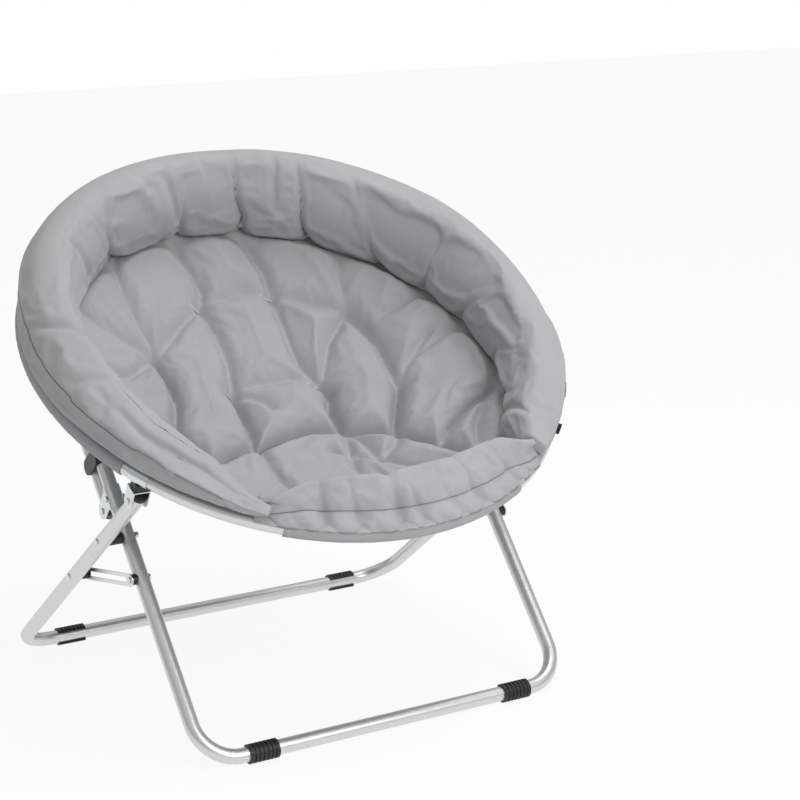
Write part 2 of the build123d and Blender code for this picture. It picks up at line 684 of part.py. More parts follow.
# ---- tufted cushion on the sling ----
bed_ball, bed_depth = inner_ball - soft_gap, inner_depth - soft_gap
cushion_edge = cushion_radius - cushion_draw_in
crown_ball = bowl_ball(cushion_edge, cushion_rim_drop, cushion_centre_drop)
with BuildPart() as cushion:
    with BuildSketch(hoop_plane(0)):
        with BuildLine():
            under = ThreePointArc((0, -bed_depth), bowl_point(bed_ball, bed_depth, cushion_edge / 2),
                                  bowl_point(bed_ball, bed_depth, cushion_edge))
            side_height = ((under @ 1).Y - cushion_rim_drop) / 2
            edge = ThreePointArc(under @ 1, (cushion_radius, side_height),
                                 (cushion_edge, -cushion_rim_drop))
            crown = ThreePointArc(edge @ 1,
                                  bowl_point(crown_ball, cushion_centre_drop, cushion_edge / 2),
                                  (0, -cushion_centre_drop))
            Line(crown @ 1, under @ 0)
        make_face()
    revolve(axis=hoop_axis)
    for tuft_x, tuft_back in tufts:
        surface = bowl_point(crown_ball, cushion_centre_drop, hypot(tuft_x, tuft_back))[1]
        centre = (hoop_centre + across * tuft_x + hoop_back * tuft_back
                  + hoop_normal * (surface - tuft_depth + tuft_ball_radius))
        with BuildSketch(Plane(origin=centre, x_dir=across, z_dir=-hoop_back)):
            Circle(tuft_ball_radius)
            Rectangle(2 * tuft_ball_radius, 2 * tuft_ball_radius,
                      align=(Align.MAX, Align.CENTER), mode=Mode.SUBTRACT)
        revolve(axis=Axis(centre, hoop_normal), mode=Mode.SUBTRACT)
save(cushion, "seat_cushion")


# ---- bolster: creased roll round the back and sides ----
def bolster_levels(angle):
    """Top and underside of the roll at a hoop angle, above the hoop's plane."""
    turn = min(angle, 360 - angle)
    for low, high in zip(bolster_outline, bolster_outline[1:]):
        if turn <= high[0]:
            share = (turn - low[0]) / (high[0] - low[0])
            return tuple(start + (end - start) * share for start, end in zip(low[1:], high[1:]))


def bolster_section(angle, pinch):
    top, foot = bolster_levels(angle)
    top *= 1 - pinch
    rise = top - foot
    share = top / bolster_outline[-1][1]
    inner = hoop_radius - bolster_low_inset + (bolster_low_inset - bolster_inset) * share
    outer = bolster_outer_radius - crease_depth_outside * pinch / crease_pinch
    lap = (inner + hoop_radius - bolster_lap_inset) / 2
    lap_height = bowl_point(crown_ball, cushion_centre_drop, lap)[1] + bolster_lap_gap

    def guide(start, point):
        return (start + point[0], foot + rise * point[1])

    with BuildSketch(hoop_plane(angle)) as section:
        with BuildLine():
            base = Line((hoop_radius - bolster_foot_inset, foot), (bolster_outer_foot, foot))
            wall = ThreePointArc(base @ 1, guide(outer, bolster_wall),
                                 guide(outer, bolster_shoulder))
            shoulder = ThreePointArc(wall @ 1, guide(bolster_top_radius, bolster_crest_outside),
                                     (bolster_top_radius, top))
            crest = ThreePointArc(shoulder @ 1, guide(inner, bolster_crest_inside),
                                  guide(inner, bolster_waist))
            inside = ThreePointArc(crest @ 1, guide(inner, bolster_toe), (lap, lap_height))
            Line(inside @ 1, base @ 0)
        make_face()
    return section.sketch


def crease_share(angle):
    """How far the roll is drawn in at a hoop angle: 1 in a crease, 0 on a puff."""
    away = min(abs(angle - crease) for crease in creases)
    return max(0.0, 1 - away / crease_half_width)


roll_step = (360 - 2 * bolster_start) / bolster_section_count
roll = [bolster_section(turn, crease_pinch * crease_share(turn)) for turn in
        (bolster_start + step * roll_step for step in range(bolster_section_count + 1))]
nut_room = nut_across_flats / 2 + nut_clearance
with BuildPart() as bolster:
    loft(roll)
    with BuildSketch(hoop_plane(0)):
        with Locations((hoop_radius, 0)):
            Circle(sleeve_outer + soft_gap)
    revolve(axis=hoop_axis, mode=Mode.SUBTRACT)
    for end, side, sign, pivot, half_width, angle in brackets:
        with BuildSketch(Plane(origin=hoop_point(angle), z_dir=hoop_normal)):
            Circle(nut_room)
        extrude(amount=screw_tip_height + soft_gap, mode=Mode.SUBTRACT)
    for side, sign in sides:
        fork_room = (hoop_centre + across * (sign * front_leg_half_width)
                     + hoop_normal * fork_room_top)
        with BuildSketch(Plane(origin=fork_room, x_dir=across, z_dir=hoop_normal)):
            with Locations((0, fork_room_back)):
                Rectangle(2 * (fork_half_width + fork_room_clearance), fork_room_length)
        extrude(amount=-fork_room_depth, mode=Mode.SUBTRACT)
save(bolster, "bolster")


# ---- puckered lip over the front of the hoop ----
def lip_section(angle, pinch):
    top = lip_top * (1 - pinch)
    wrap = sleeve_outer + soft_gap
    outer_turn, inner_turn = radians(lip_outer_wrap), radians(180 - lip_inner_wrap)
    outer_foot = (hoop_radius + wrap * cos(outer_turn), wrap * sin(outer_turn))
    inner_foot = (hoop_radius + wrap * cos(inner_turn), wrap * sin(inner_turn))
    with BuildSketch(hoop_plane(angle)) as section:
        with BuildLine():
            front = ThreePointArc(outer_foot,
                                  (hoop_radius + lip_overhang, top * lip_bulge_share),
                                  (hoop_radius - lip_top_inset, top))
            back = ThreePointArc(front @ 1, (hoop_radius - lip_back_inset, top * lip_back_share),
                                 (hoop_radius - lip_inset, -lip_lap_drop))
            Line(back @ 1, inner_foot)
            ThreePointArc(inner_foot, (hoop_radius, wrap), outer_foot)
        make_face()
    return section.sketch


pucker_step = 2 * lip_half_angle / lip_pucker_count
folds = [lip_section(-lip_half_angle, lip_pucker)]
for pucker in range(lip_pucker_count):
    start = -lip_half_angle + pucker * pucker_step
    folds.append(lip_section(start + pucker_step / 2, 0))
    folds.append(lip_section(start + pucker_step, lip_pucker))
with BuildPart() as lip:
    loft(folds)
save(lip, "front_lip")

# ---- blank tag sewn under the bolster's outer edge ----
tag_top = bolster_outline[0][2] - tag_gap
with BuildPart() as tag:
    with BuildSketch(Plane(origin=hoop_point(tag_angle, tag_top), x_dir=hoop_direction(tag_angle),
                           z_dir=hoop_normal)):
        with Locations((bolster_outer_foot - hoop_radius, 0)):
            Rectangle(tag_length, tag_width)
    extrude(amount=-tag_thickness)
save(tag, "blank_tag")
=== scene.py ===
import math

import bpy
import numpy as np
from mathutils import Matrix, Vector
from mathutils.bvhtree import BVHTree


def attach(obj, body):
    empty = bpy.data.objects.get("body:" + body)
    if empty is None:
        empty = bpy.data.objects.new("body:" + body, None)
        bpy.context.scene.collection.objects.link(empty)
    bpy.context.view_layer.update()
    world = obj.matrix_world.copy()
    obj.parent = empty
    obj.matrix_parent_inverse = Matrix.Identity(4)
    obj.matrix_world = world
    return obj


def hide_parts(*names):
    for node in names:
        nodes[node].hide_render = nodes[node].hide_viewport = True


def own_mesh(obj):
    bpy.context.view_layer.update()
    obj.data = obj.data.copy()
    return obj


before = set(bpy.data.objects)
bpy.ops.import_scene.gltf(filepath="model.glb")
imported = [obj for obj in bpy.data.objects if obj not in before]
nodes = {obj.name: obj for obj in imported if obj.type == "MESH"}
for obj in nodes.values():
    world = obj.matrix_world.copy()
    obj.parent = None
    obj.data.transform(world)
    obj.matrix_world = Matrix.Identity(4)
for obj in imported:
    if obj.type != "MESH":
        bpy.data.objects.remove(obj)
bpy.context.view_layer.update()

print("frame loaded,", len(nodes), "nodes")

# Seat coordinates, in mm: across is +X, back lies in the hoop's plane, up is the plane's normal.
# Hoop angles start at the front of the hoop and rise towards -X.
hoop = {"centre": (0, 2.05, 510.7), "tilt": math.radians(27.2), "radius": 404.6}
backWay = np.array((0, math.cos(hoop["tilt"]), math.sin(hoop["tilt"])))
upWay = np.array((0, -math.sin(hoop["tilt"]), math.cos(hoop["tilt"])))


def toFrame(spots):
    spots = np.asarray(spots, float)
    turned = spots[..., 1:2] * backWay + spots[..., 2:3] * upWay
    turned[..., 0] += spots[..., 0]
    return (turned + np.array(hoop["centre"])) / 1000


def hoopSpots(angle, out, up):
    turn = np.radians(angle)
    angle, out, up = np.broadcast_arrays(angle, out, up)
    return np.stack((-out * np.sin(turn), -out * np.cos(turn), up), -1)


def hoopOut(angle):
    turn = math.radians(angle)
    return -math.sin(turn) * np.array((1, 0, 0)) - math.cos(turn) * backWay


def ease(low, high, value):
    share = np.clip((value - low) / (high - low), 0, 1)
    return share * share * (3 - 2 * share)


def readTable(table, value, column):
    keys = [row[0] for row in table]
    return np.interp(value, keys, [row[column] for row in table])


def bowlHeight(out, edge, drop, centre):
    sag = centre - drop
    ball = (edge * edge + sag * sag) / (2 * sag)
    return ball - centre - np.sqrt(ball * ball - out * out)


def makePiece(name, spots, faces, body="seat", finish=None):
    mesh = bpy.data.meshes.new(name)
    mesh.from_pydata([tuple(spot) for spot in np.asarray(spots).reshape(-1, 3)], [], faces)
    mesh.polygons.foreach_set("use_smooth", [True] * len(mesh.polygons))
    piece = bpy.data.objects.new(name, mesh)
    bpy.context.collection.objects.link(piece)
    if finish:
        mesh.materials.append(finish)
    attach(piece, body)
    return piece


def tubeFaces(rows, around, closedEnds=True):
    faces = []
    for row in range(rows - 1):
        here, there = row * around, (row + 1) * around
        for k in range(around):
            nxt = (k + 1) % around
            faces.append((here + k, here + nxt, there + nxt, there + k))
    if closedEnds:
        faces.append(tuple(range(around - 1, -1, -1)))
        faces.append(tuple(range((rows - 1) * around, rows * around)))
    return faces


def spline(keys, count):
    # A smooth line through the keys, with count points at even steps along it.
    keys = np.asarray(keys, float)
    full = np.vstack((2 * keys[0] - keys[1], keys, 2 * keys[-1] - keys[-2]))
    fine = []
    for a, b, c, d in zip(full, full[1:], full[2:], full[3:]):
        t = np.linspace(0, 1, 12, endpoint=False)[:, None]
        fine.append(0.5 * (2 * b + (c - a) * t + (2 * a - 5 * b + 4 * c - d) * t ** 2
                           + (3 * b - a - 3 * c + d) * t ** 3))
    fine = np.vstack(fine + [keys[-1:]])
    run = np.concatenate(([0], np.cumsum(np.linalg.norm(np.diff(fine, axis=0), axis=1))))
    at = np.linspace(0, run[-1], count)
    return np.stack([np.interp(at, run, fine[:, k]) for k in range(keys.shape[1])], -1)


creaseRound = 2  # mm, how blunt the bottom of a crease is


def lineDepth(spots, lines):
    # Each line is its width, then points of place, place and depth; it deepens and fades along it.
    depth = np.zeros(len(spots))
    for width, *path in lines:
        path = np.asarray(path, float)
        for a, b in zip(path, path[1:]):
            along = b[:2] - a[:2]
            share = np.clip(((spots - a[:2]) @ along) / max(along @ along, 1e-9), 0, 1)
            away = np.linalg.norm(spots - a[:2] - share[:, None] * along, axis=1)
            fade = np.exp(-np.sqrt(away ** 2 + creaseRound ** 2) / width + creaseRound / width)
            depth = np.maximum(depth, (a[2] + (b[2] - a[2]) * share) * fade)
    return depth


puff = {"frames": 20, "quality": 5, "mass": 0.02, "air": 1, "stiff": 8, "bend": 0.05, "damping": 5}


def puffUp(piece, held, pressure, spare, cap):
    # Blows the piece up as cloth; spare is how much the cloth grows, cap how far a point may move.
    mesh = piece.data
    count = len(mesh.vertices)
    start = np.empty(count * 3)
    mesh.vertices.foreach_get("co", start)
    start = start.reshape(-1, 3)
    group = piece.vertex_groups.new(name="held")
    group.add([int(k) for k in np.flatnonzero(held)], 1, "REPLACE")
    cloth = piece.modifiers.new("puff", "CLOTH")
    feel = cloth.settings
    feel.quality = puff["quality"]
    feel.mass = puff["mass"]
    feel.air_damping = puff["air"]
    feel.tension_stiffness = feel.compression_stiffness = puff["stiff"]
    feel.shear_stiffness = puff["stiff"] / 2
    feel.bending_stiffness = puff["bend"]
    feel.tension_damping = feel.compression_damping = feel.shear_damping = puff["damping"]
    feel.use_pressure = True
    feel.uniform_pressure_force = pressure
    feel.vertex_group_mass = "held"
    feel.pin_stiffness = 1
    feel.shrink_min = feel.shrink_max = -spare
    feel.effector_weights.gravity = 0
    cloth.collision_settings.use_collision = False
    cloth.point_cache.frame_start, cloth.point_cache.frame_end = 1, puff["frames"]
    scene = bpy.context.scene
    for step in range(1, puff["frames"] + 1):
        scene.frame_set(step)
    dressed = piece.evaluated_get(bpy.context.evaluated_depsgraph_get())
    shaped = np.empty(count * 3)
    dressed.data.vertices.foreach_get("co", shaped)
    piece.modifiers.remove(cloth)
    scene.frame_set(1)
    move = shaped.reshape(-1, 3) - start
    far = np.linalg.norm(move, axis=1)
    print(f"  {piece.name}: moved {far.mean() * 1000:.1f} mm, at most {far.max() * 1000:.1f}")
    move *= np.minimum(1, cap / 1000 / np.maximum(far, 1e-9))[:, None]
    mesh.vertices.foreach_set("co", (start + move).ravel())
    mesh.update()


def threadLine(name, points, radius, finish):
    points = np.array([tuple(point) for point in points])
    way = np.gradient(points, axis=0)
    way /= np.maximum(np.linalg.norm(way, axis=1, keepdims=True), 1e-9)
    side = np.cross(way, upWay)
    side /= np.maximum(np.linalg.norm(side, axis=1, keepdims=True), 1e-9)
    over = np.cross(side, way)
    sides = 6
    turn = np.linspace(0, 2 * np.pi, sides, endpoint=False)
    spots = (points[:, None] + radius * (np.cos(turn)[None, :, None] * side[:, None]
                                         + np.sin(turn)[None, :, None] * over[:, None]))
    return makePiece(name, spots, tubeFaces(len(points), sides), finish=finish)


def outwards(sections):
    # The outward direction at each point of closed sections of (out, up).
    tangent = np.roll(sections, -1, 1) - np.roll(sections, 1, 1)
    normal = np.stack((-tangent[..., 1], tangent[..., 0]), -1)
    return normal / np.maximum(np.linalg.norm(normal, axis=2, keepdims=True), 1e-6)


def unrolled(angles, around, down, shown):
    # Where the shown part of each section lies when the piece is laid out flat, in mm.
    grid = np.broadcast_arrays(np.radians(angles)[:, None] * around, np.linspace(0, down, shown)[None])
    return np.stack(grid, -1).reshape(-1, 2)


def soften(piece):
    smooth = piece.modifiers.new("round", "SUBSURF")
    smooth.levels = smooth.render_levels = 1
    bpy.context.view_layer.objects.active = piece
    with bpy.context.temp_override(object=piece, active_object=piece):
        bpy.ops.object.modifier_apply(modifier="round")


def newFinish(name, tone, rough, metal=0.0):
    finish = bpy.data.materials.new(name)
    finish.use_nodes = True
    shader = finish.node_tree.nodes["Principled BSDF"]
    shader.inputs["Base Color"].default_value = (*tone, 1)
    shader.inputs["Roughness"].default_value = rough
    shader.inputs["Metallic"].default_value = metal
    return finish, finish.node_tree, shader


def addNode(tree, kind, **values):
    node = tree.nodes.new(kind)
    for key, value in values.items():
        if key in node.inputs:
            node.inputs[key].default_value = value
        else:
            setattr(node, key, value)
    return node


roughSpread = 0.08  # how far the roughness of metal and plastic varies


def clothFinish(name, tone, threads):
    # Woven polyester: two crossed waves for the weave, a fine fibre and a broad mottle.
    finish, tree, shader = newFinish(name, tone, 0.88)
    link = tree.links.new
    coords = addNode(tree, "ShaderNodeTexCoord")
    mottle = addNode(tree, "ShaderNodeTexNoise", Scale=9.0, Detail=4.0, Roughness=0.6)
    fibre = addNode(tree, "ShaderNodeTexNoise", Scale=420.0, Detail=2.0, Roughness=0.7)
    both = addNode(tree, "ShaderNodeMath", operation="MULTIPLY_ADD")
    both.inputs[1].default_value = 0.35
    ramp = addNode(tree, "ShaderNodeMapRange")
    for key, value in (("From Min", 0.4), ("From Max", 0.95), ("To Min", 0.93), ("To Max", 1.05)):
        ramp.inputs[key].default_value = value
    tint = addNode(tree, "ShaderNodeVectorMath", operation="SCALE")
    tint.inputs[0].default_value = tone
    link(coords.outputs["Object"], mottle.inputs["Vector"])
    link(coords.outputs["Object"], fibre.inputs["Vector"])
    link(fibre.outputs["Fac"], both.inputs[0])
    link(mottle.outputs["Fac"], both.inputs[2])
    link(both.outputs[0], ramp.inputs["Value"])
    link(ramp.outputs[0], tint.inputs["Scale"])
    link(tint.outputs[0], shader.inputs["Base Color"])
    weave = []
    for turn in ((0, 0, 0.7), (0.6, 0.9, 2.1)):  # warp and weft
        spin = addNode(tree, "ShaderNodeMapping")
        spin.inputs["Rotation"].default_value = turn
        wave = addNode(tree, "ShaderNodeTexWave", Scale=threads, Distortion=1.5, Detail=1.0)
        link(coords.outputs["Object"], spin.inputs["Vector"])
        link(spin.outputs[0], wave.inputs["Vector"])
        weave.append(wave)
    crossed = addNode(tree, "ShaderNodeMath", operation="MULTIPLY")
    link(weave[0].outputs["Fac"], crossed.inputs[0])
    link(weave[1].outputs["Fac"], crossed.inputs[1])
    fine = addNode(tree, "ShaderNodeBump", Strength=0.16, Distance=0.0004)
    link(crossed.outputs[0], fine.inputs["Height"])
    rumple = addNode(tree, "ShaderNodeTexNoise", Scale=38.0, Detail=3.0, Roughness=0.55)
    link(coords.outputs["Object"], rumple.inputs["Vector"])
    soft = addNode(tree, "ShaderNodeBump", Strength=0.25, Distance=0.0014)
    link(rumple.outputs["Fac"], soft.inputs["Height"])
    link(fine.outputs[0], soft.inputs["Normal"])
    link(soft.outputs[0], shader.inputs["Normal"])
    shader.inputs["Sheen Weight"].default_value = 0.12
    shader.inputs["Sheen Roughness"].default_value = 0.5
    shader.inputs["Specular IOR Level"].default_value = 0.25
    return finish


def hardFinish(name, tone, rough, metal, grain, scale, bumpy=0.05):
    # Metal or plastic; grain is how much the colour varies, scale how fine it is.
    finish, tree, shader = newFinish(name, tone, rough, metal)
    link = tree.links.new
    coords = addNode(tree, "ShaderNodeTexCoord")
    noise = addNode(tree, "ShaderNodeTexNoise", Scale=scale, Detail=5.0, Roughness=0.65)
    link(coords.outputs["Object"], noise.inputs["Vector"])
    tintScale = addNode(tree, "ShaderNodeMapRange")
    tintScale.inputs["To Min"].default_value = 1 - grain
    tintScale.inputs["To Max"].default_value = 1 + grain
    tint = addNode(tree, "ShaderNodeVectorMath", operation="SCALE")
    tint.inputs[0].default_value = tone
    link(noise.outputs["Fac"], tintScale.inputs["Value"])
    link(tintScale.outputs[0], tint.inputs["Scale"])
    link(tint.outputs[0], shader.inputs["Base Color"])
    roughScale = addNode(tree, "ShaderNodeMapRange")
    roughScale.inputs["To Min"].default_value = rough - roughSpread
    roughScale.inputs["To Max"].default_value = rough + roughSpread
    link(noise.outputs["Fac"], roughScale.inputs["Value"])
    link(roughScale.outputs[0], shader.inputs["Roughness"])
    bump = addNode(tree, "ShaderNodeBump", Strength=bumpy, Distance=0.0003)
    grit = addNode(tree, "ShaderNodeTexNoise", Scale=scale * 12, Detail=2.0)
    link(coords.outputs["Object"], grit.inputs["Vector"])
    link(grit.outputs["Fac"], bump.inputs["Height"])
    link(bump.outputs[0], shader.inputs["Normal"])
    return finish


grey = clothFinish("greyCloth", (0.395, 0.394, 0.404), 190)
canvasGrey = clothFinish("greyCanvas", (0.36, 0.362, 0.372), 150)
threadGrey = newFinish("greyThread", (0.22, 0.22, 0.23), 0.9)[0]
stitchPale = newFinish("paleThread", (0.72, 0.72, 0.73), 0.8)[0]
finishes = {"tube_silver": hardFinish("satinSilver", (0.70, 0.70, 0.70), 0.36, 0.92, 0.04, 60, 0.02),
            "zinc": hardFinish("brightZinc", (0.70, 0.735, 0.745), 0.3, 1.0, 0.05, 45, 0.008),
            "black_plastic": hardFinish("blackPlastic", (0.012, 0.012, 0.013), 0.38, 0.0, 0.2, 90),
            "foot_plastic": hardFinish("footPlastic", (0.014, 0.014, 0.015), 0.46, 0.0, 0.2, 90, 0.1),
            "tag_black": hardFinish("blankTag", (0.015, 0.015, 0.017), 0.8, 0.0, 0.25, 400, 0.3)}
for node in nodes.values():
    for place in node.material_slots:
        if place.material and place.material.name in finishes:
            place.material = finishes[place.material.name]
print("finishes made")

# The padded roll round the seat. Lengths in mm, angles round the hoop in degrees.
roll = {"start": 31.5, "end": 322.5, "rows": 388, "visible": 52, "hidden": 8,
        # its section: the full height, then how far out each part lies
        "tall": 111, "innerHigh": 324, "innerLow": 347, "lap": 365, "crest": 373, "outer": 420,
        "foot": 417, "under": 405, "heel": 394,
        # the tapered tip
        "tipFrom": 31.5, "tipTo": 48, "tipEarly": 4, "tipInner": 398, "tipLap": 399, "tipCrest": 404,
        # the bowl that its inner edge lies on
        "bedEdge": 368, "bedDrop": 12, "bedCentre": 142, "bedGap": 2,
        # where the leaning of rollLean starts, and over how far it grows
        "outFrom": 340, "outRun": 60, "outAbove": 22, "upFrom": 40, "upRun": 60,
        # the filling
        "lift": 5, "liftTo": 0.78, "pressure": 4, "spare": 0.012, "cap": 4.5, "fill": 0.75,
        # the unrolled cloth, the depth from which a crease is held, and the first row of the seam
        "around": 380, "down": 280, "pinned": 9, "seamFrom": 30,
        # a strong crease: shares of width and depth of its narrow core and its wide shoulder
        "strongFrom": 12, "strongShapes": ((0.6, 1.15), (1.9, 0.55)),
        # creases cut once more into the finished mesh
        "sharpWidth": 3.2, "sharpShare": 0.3, "sharpMost": 4.5, "sharpNarrower": 7,
        "sharpDeeper": 5,
        # fine wrinkles along the left wing: how many, angle, place, length, depth, width
        "seed": 11, "wing": 24, "wingAt": (46, 104), "wingPlace": (0.22, 0.74),
        "wingLong": (5, 12), "wingDeep": (1.6, 3.6), "wingWidth": 3.6,
        # and down the right side and the back
        "right": 34, "rightAt": (232, 302), "back": 24, "backAt": (112, 232),
        "downPlace": (0.12, 0.42), "downLong": (0.1, 0.3), "downLean": (-3, 3),
        "downDeep": (1.2, 3.2), "downWidth": 3.4}
# Hoop angle from the front, then the heights of the top, of the underside and of the outer seam.
rollOutline = [(31.5, 35, 28, 31), (36, 43, 21, 34), (47, 54, 19.5, 46), (56, 69, 19.5, 54),
               (66, 84, 19.5, 55), (84, 100, 11.5, 58), (110, 111, 11.5, 60),
               (180, 111, 11.5, 60)]
# Where the roll leans out or stands higher than its outline: hoop angle, out, up.
rollLean = [(40, 5, 0), (85, 4, 0), (102, 0, 0), (130, 0, 0), (180, 1, 1), (205, 5, 6), (240, 4, 7),
            (258, -1, 3), (275, -4, 0), (320, -3, 0)]
# Creases: width, then hoop angle, place from the pad's seam 0 to the foot 1, and depth.
rollCreases = [
    (9, (150.5, 0, 26), (145, 0.17, 23), (142.3, 0.34, 15), (144.9, 0.47, 8), (147, 0.56, 3)),
    (8, (136, 0.62, 4), (137, 0.48, 6), (139, 0.38, 9), (146, 0.12, 13)),
    (9, (173.6, 0, 24), (173.4, 0.1, 22), (172.6, 0.24, 16), (171.4, 0.34, 10), (170, 0.46, 4)),
    (7, (171, 0.2, 12), (168, 0.37, 9), (166.7, 0.48, 7), (167.3, 0.55, 3)),
    (6, (158.3, 0.55, 5), (160.1, 0.44, 7), (161, 0.34, 2)),
    (6, (163, 0.42, 3), (165, 0.2, 7), (168, 0.04, 10)),
    (8, (192.4, 0, 28), (191.6, 0.17, 26), (188.6, 0.3, 22), (187.3, 0.44, 14), (186.6, 0.58, 6)),
    (6, (197.8, 0.54, 8), (198.1, 0.42, 9), (199.5, 0.3, 3)),
    (8, (211.8, 0, 26), (208, 0.2, 23), (206.8, 0.33, 19), (205.8, 0.4, 15), (202.5, 0.57, 6)),
    (10, (233.1, 0, 22), (228.3, 0.2, 12), (219, 0.49, 4)),
    (9, (250, 0, 20), (247, 0.05, 18), (248.3, 0.25, 11), (249.3, 0.47, 7), (251, 0.6, 2)),
    (9, (264.4, 0, 20), (261.6, 0.05, 18), (263.7, 0.17, 15), (267.2, 0.3, 11), (275, 0.5, 5)),
    (9, (289.3, 0, 18), (282, 0.08, 14), (283, 0.2, 13), (289, 0.32, 10), (295, 0.5, 4)),
    (6, (293, 0.02, 14), (304.5, 0.3, 9), (303.5, 0.52, 7), (303, 0.75, 3)),
    (9, (129.5, 0, 18), (118, 0.15, 12), (106.8, 0.3, 11), (101, 0.48, 10), (99.1, 0.68, 6)),
    (7, (129.2, 0.2, 9), (126.1, 0.38, 8), (123.1, 0.48, 7), (119.9, 0.56, 4)),
    (7, (84, 0.4, 4), (87.9, 0.5, 11), (93.2, 0.7, 10), (97, 0.79, 4)),
    (7, (70, 0.4, 4), (72, 0.5, 11), (77.7, 0.74, 9)),
    (6, (69.3, 0.75, 7), (66.8, 0.55, 8), (63, 0.4, 4)),
    (9, (84, 0.45, 3), (70.6, 0.54, 13), (60, 0.55, 15), (50, 0.5, 12), (42, 0.45, 4)),
    (8, (66, 0.46, 4), (56, 0.36, 13), (48, 0.3, 12), (40, 0.26, 4)),
    (7, (74, 0.68, 3), (60, 0.7, 11), (50, 0.66, 11), (38, 0.62, 3)),
    (7, (306, 0.1, 4), (310, 0.3, 9), (315, 0.5, 6)),
    (6, (312, 0.72, 8), (313, 0.5, 4))]
rollThread = {"from": 40, "to": 306, "proud": 0.0007, "radius": 0.001}


def rollSection(angle):
    # One cut through the roll as (out, up), from the pad's seam over the top and back underneath.
    turn = min(angle, 360 - angle)
    top, foot, seam = (float(readTable(rollOutline, turn, k)) for k in (1, 2, 3))
    slim = float(ease(roll["tipFrom"], roll["tipTo"], turn))  # 0 at the very tip
    outer = roll["outer"]
    inner = roll["innerLow"] + (roll["innerHigh"] - roll["innerLow"]) * top / roll["tall"]
    lap = (inner + roll["lap"]) / 2
    bed = bowlHeight(lap, roll["bedEdge"], roll["bedDrop"], roll["bedCentre"])
    low = float(bed) + roll["bedGap"]
    rise = top - foot
    inner = roll["tipInner"] + (inner - roll["tipInner"]) * slim
    lap = roll["tipLap"] + (lap - roll["tipLap"]) * slim
    low = foot + (low - foot) * slim
    crest = roll["tipCrest"] + (roll["crest"] - roll["tipCrest"]) * slim
    tall = top - low
    lean = crest - inner
    shown = spline([(lap, low), (inner + 8 * slim, low + 0.1 * tall),
                    (inner + 1.5 * slim, low + 0.26 * tall), (inner + 1 * slim, low + 0.42 * tall),
                    (inner + 0.12 * lean, low + 0.6 * tall), (inner + 0.34 * lean, low + 0.78 * tall),
                    (inner + 0.64 * lean, low + 0.935 * tall), (crest, top),
                    (crest + 26 * slim, top - 0.08 * rise),
                    (outer - 6, seam + 0.5 * (top - seam)),
                    (outer - 0.8, seam + 0.16 * (top - seam)), (outer - 2.2, seam),
                    (outer - 1.6, seam * 0.66 + foot * 0.34), (roll["foot"], foot)],
                   roll["visible"])
    under = spline([(roll["foot"], foot), (roll["under"], foot + 1.5), (roll["heel"], foot)],
                   roll["hidden"] // 2 + 1)
    back = spline([(roll["heel"], foot), (lap, low)], roll["hidden"] // 2 + 2)
    return np.vstack((shown, under[1:], back[1:-1]))


def rollWrinkles():
    dice = np.random.default_rng(roll["seed"])
    made = []
    for k in range(roll["wing"]):
        at, top = dice.uniform(*roll["wingAt"]), dice.uniform(*roll["wingPlace"])
        long, deep = dice.uniform(*roll["wingLong"]), dice.uniform(*roll["wingDeep"])
        middle = (at + long / 2, top + dice.uniform(-0.03, 0.03), deep)
        end = (at + long, top + dice.uniform(-0.05, 0.05), 0)
        made.append((roll["wingWidth"], (at, top, 0), middle, end))
    for k in range(roll["right"] + roll["back"]):
        side = roll["rightAt"] if k < roll["right"] else roll["backAt"]
        at, top = dice.uniform(*side), dice.uniform(*roll["downPlace"])
        long, lean = dice.uniform(*roll["downLong"]), dice.uniform(*roll["downLean"])
        deep = dice.uniform(*roll["downDeep"])
        made.append((roll["downWidth"], (at, top, 0), (at + lean / 2, top + long / 2, deep),
                     (at + lean, top + long, 0)))
    return made


def rollLines():
    # All creases and wrinkles, laid on the unrolled cloth.
    lines = []
    for width, *path in rollCreases + rollWrinkles():
        strong = max(spot[2] for spot in path) > roll["strongFrom"]
        for wide, part in roll["strongShapes"] if strong else ((1, 1),):
            lines.append((width * wide, *[(math.radians(a) * roll["around"], place * roll["down"],
                                           deep * part) for a, place, deep in path]))
    return lines


def sharpen(piece, lines):
    # Cuts the narrow creases once more into the finished mesh, where they keep their edge.
    count = len(piece.data.vertices)
    spots, out, lay = (np.empty(count * 3) for _ in range(3))
    piece.data.vertices.foreach_get("co", spots)
    piece.data.vertices.foreach_get("normal", out)
    piece.data.attributes["lay"].data.foreach_get("vector", lay)
    thin = []
    for width, *path in lines:
        if width < roll["sharpNarrower"] and max(spot[2] for spot in path) > roll["sharpDeeper"]:
            thin.append((roll["sharpWidth"], *[(u, v, min(deep * roll["sharpShare"],
                                                          roll["sharpMost"]))
                                               for u, v, deep in path]))
    cut = lineDepth(lay.reshape(-1, 3)[:, :2], thin) / 1000
    spots = spots.reshape(-1, 3) - out.reshape(-1, 3) * cut[:, None]
    piece.data.vertices.foreach_set("co", spots.ravel())
    piece.data.attributes.remove(piece.data.attributes["lay"])
    piece.data.update()


def sewRoll(piece, angles, around, seamRow):
    middle = np.array(hoop["centre"]) / 1000
    line = []
    for row in np.flatnonzero((angles > rollThread["from"]) & (angles < rollThread["to"])):
        spot = np.array(piece.data.vertices[int(row * around + seamRow[row])].co)
        away = spot - middle
        line.append(spot + rollThread["proud"] * away / np.linalg.norm(away))
    threadLine("rollSideSeam", line, rollThread["radius"], threadGrey)


